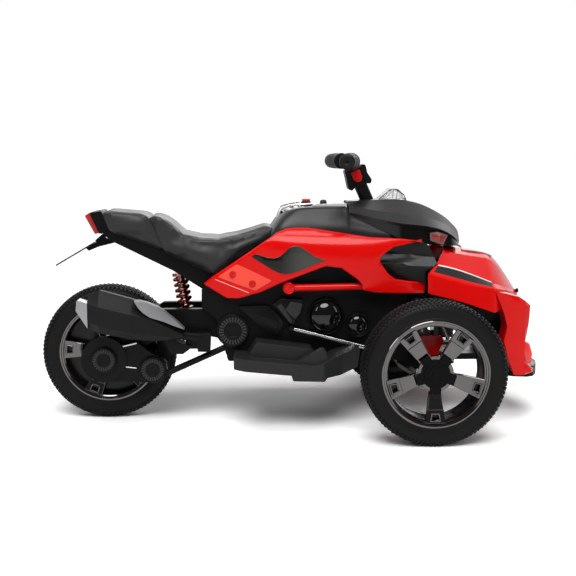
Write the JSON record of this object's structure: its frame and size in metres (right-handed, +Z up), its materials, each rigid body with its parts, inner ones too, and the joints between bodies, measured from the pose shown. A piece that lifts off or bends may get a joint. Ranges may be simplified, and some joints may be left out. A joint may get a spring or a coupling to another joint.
{
  "type": "child's battery ride-on trike",
  "caption": "Child's battery ride-on trike: red and black sports body, steered front wheels on wishbones, driven rear wheel in a swing arm, handlebar, padded saddle and footboards.",
  "frame": {"origin": "on the ground at mid-length and mid-width, below the middle of the bounding box", "axes": "+X forward, +Y to the left, +Z up"},
  "size_m": [1.142, 0.6662, 0.604],
  "materials": {
    "red": "glossy moulded red",
    "black_gloss": "semi-gloss moulded black",
    "black_matte": "matte moulded black",
    "silver": "silver paint",
    "chrome": "bright plated",
    "dark_chrome": "smoked plating on plastic",
    "spring_red": "red lacquer",
    "tyre": "moulded tread",
    "rubber": "ribbed grips",
    "seat": "grained seat cover",
    "steel": "plated steel",
    "black_steel": "black powder coat",
    "clear": "clear moulded plastic",
    "lamp_red": "red lens",
    "button_red": "button"
  },
  "bodies": {
    "chassis": {"body_core": "black_matte", "battery": "black_matte", "belly_cover": "black_matte", "front_frame": "black_steel", "wishbones_left": "black_steel", "wishbones_right": "black_steel", "front_springs": "black_steel", "front_dampers": "black_steel", "side_fairing_left": "red", "side_fairing_right": "red", "fairing_insets": "black_gloss", "tank_cover": "black_gloss", "console_deck": "silver", "console_buttons": "button_red", "nose_cowl": "black_gloss", "head_lamps": "lamp_red", "windscreen": "clear", "front_hood": "red", "side_scoops": "black_gloss", "side_pods": "red", "pod_lamps": "clear", "bumper": "black_matte", "grille": "black_matte", "footboard_left": "black_matte", "footboard_right": "black_matte", "engine_covers": "black_gloss", "engine_discs": "black_gloss", "saddle": "seat", "pillion": "seat", "tail_frame": "black_matte", "tail_cap": "black_matte", "tail_light": "lamp_red", "plate_arm": "black_matte", "plate": "black_matte", "swing_arm": "black_steel", "rear_spring": "spring_red", "rear_damper": "chrome", "drive_case": "black_matte", "round_covers": "black_gloss", "muffler": "black_gloss", "muffler_tip": "chrome", "muffler_shield": "silver", "exhaust_pipe": "black_matte"},
    "steering": {"steering_column": "black_steel", "bar_clamp": "black_gloss", "clamp_inserts": "red", "handlebar": "black_steel", "grips": "rubber"},
    "knuckle_left": {"knuckle_left": "red"},
    "knuckle_right": {"knuckle_right": "red"},
    "tie_rod": {"tie_rod": "steel"},
    "wheel_front_left": {"tyre_front_left": "tyre", "rim_front_left": "dark_chrome", "hub_cap_front_left": "black_gloss"},
    "wheel_front_right": {"tyre_front_right": "tyre", "rim_front_right": "dark_chrome", "hub_cap_front_right": "black_gloss"},
    "wheel_rear": {"tyre_rear": "tyre", "rim_rear": "dark_chrome"}
  },
  "joints": [
    {"name": "steer", "type": "hinge", "parent": "chassis", "child": "steering", "pos_m": [0.15, 0, 0.548], "axis": [-0.4067, 0, 0.9135], "range_deg": [-22, 22]},
    {"name": "steer_knuckle_left", "type": "hinge", "parent": "chassis", "child": "knuckle_left", "pos_m": [0.281, 0.238, 0.1525], "axis": [0, 0, 1], "range_deg": [-22, 22]},
    {"name": "steer_knuckle_right", "type": "hinge", "parent": "chassis", "child": "knuckle_right", "pos_m": [0.281, -0.238, 0.1525], "axis": [0, 0, 1], "range_deg": [-22, 22]},
    {"name": "tie_rod_pivot", "type": "hinge", "parent": "knuckle_left", "child": "tie_rod", "pos_m": [0.326, 0.238, 0.17], "axis": [0, 0, 1], "range_deg": [-22, 22]},
    {"name": "roll_front_left", "type": "hinge", "parent": "knuckle_left", "child": "wheel_front_left", "pos_m": [0.281, 0.294, 0.1525], "axis": [0, 1, 0], "continuous": true},
    {"name": "roll_front_right", "type": "hinge", "parent": "knuckle_right", "child": "wheel_front_right", "pos_m": [0.281, -0.294, 0.1525], "axis": [0, 1, 0], "continuous": true},
    {"name": "roll_rear", "type": "hinge", "parent": "chassis", "child": "wheel_rear", "pos_m": [-0.4185, 0, 0.1525], "axis": [0, 1, 0], "continuous": true}
  ],
  "couplings": [
    {"joint": "steer_knuckle_left", "follows": "steer", "ratio": 1},
    {"joint": "steer_knuckle_right", "follows": "steer", "ratio": 1},
    {"joint": "tie_rod_pivot", "follows": "steer", "ratio": -1}
  ]
}
